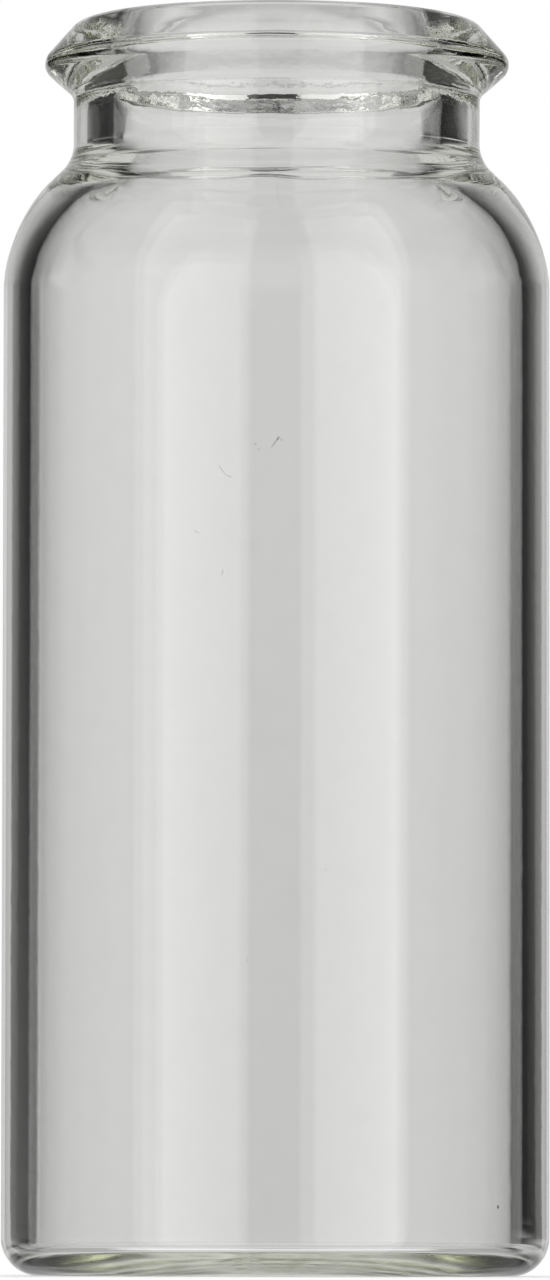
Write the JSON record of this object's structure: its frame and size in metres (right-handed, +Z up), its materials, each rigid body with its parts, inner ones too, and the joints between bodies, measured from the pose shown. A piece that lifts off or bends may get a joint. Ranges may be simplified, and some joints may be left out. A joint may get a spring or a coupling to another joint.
{
  "type": "glass sample vial",
  "caption": "Open clear glass vial with a round body, rounded shoulder, thick short neck and a double-bevelled crimp flange around a straight bore.",
  "frame": {"origin": "middle of the ring that the vial stands on, on the vial's axis", "axes": "+Z up along the vial's axis, from the base to the open mouth; X and Y are alike, because the vial is round"},
  "size_m": [0.0234, 0.0234, 0.054],
  "materials": {
    "glass": "clear polished soda-lime glass, faintly olive-green where it is thick"
  },
  "bodies": {
    "root": {"vial": "glass"}
  },
  "joints": []
}
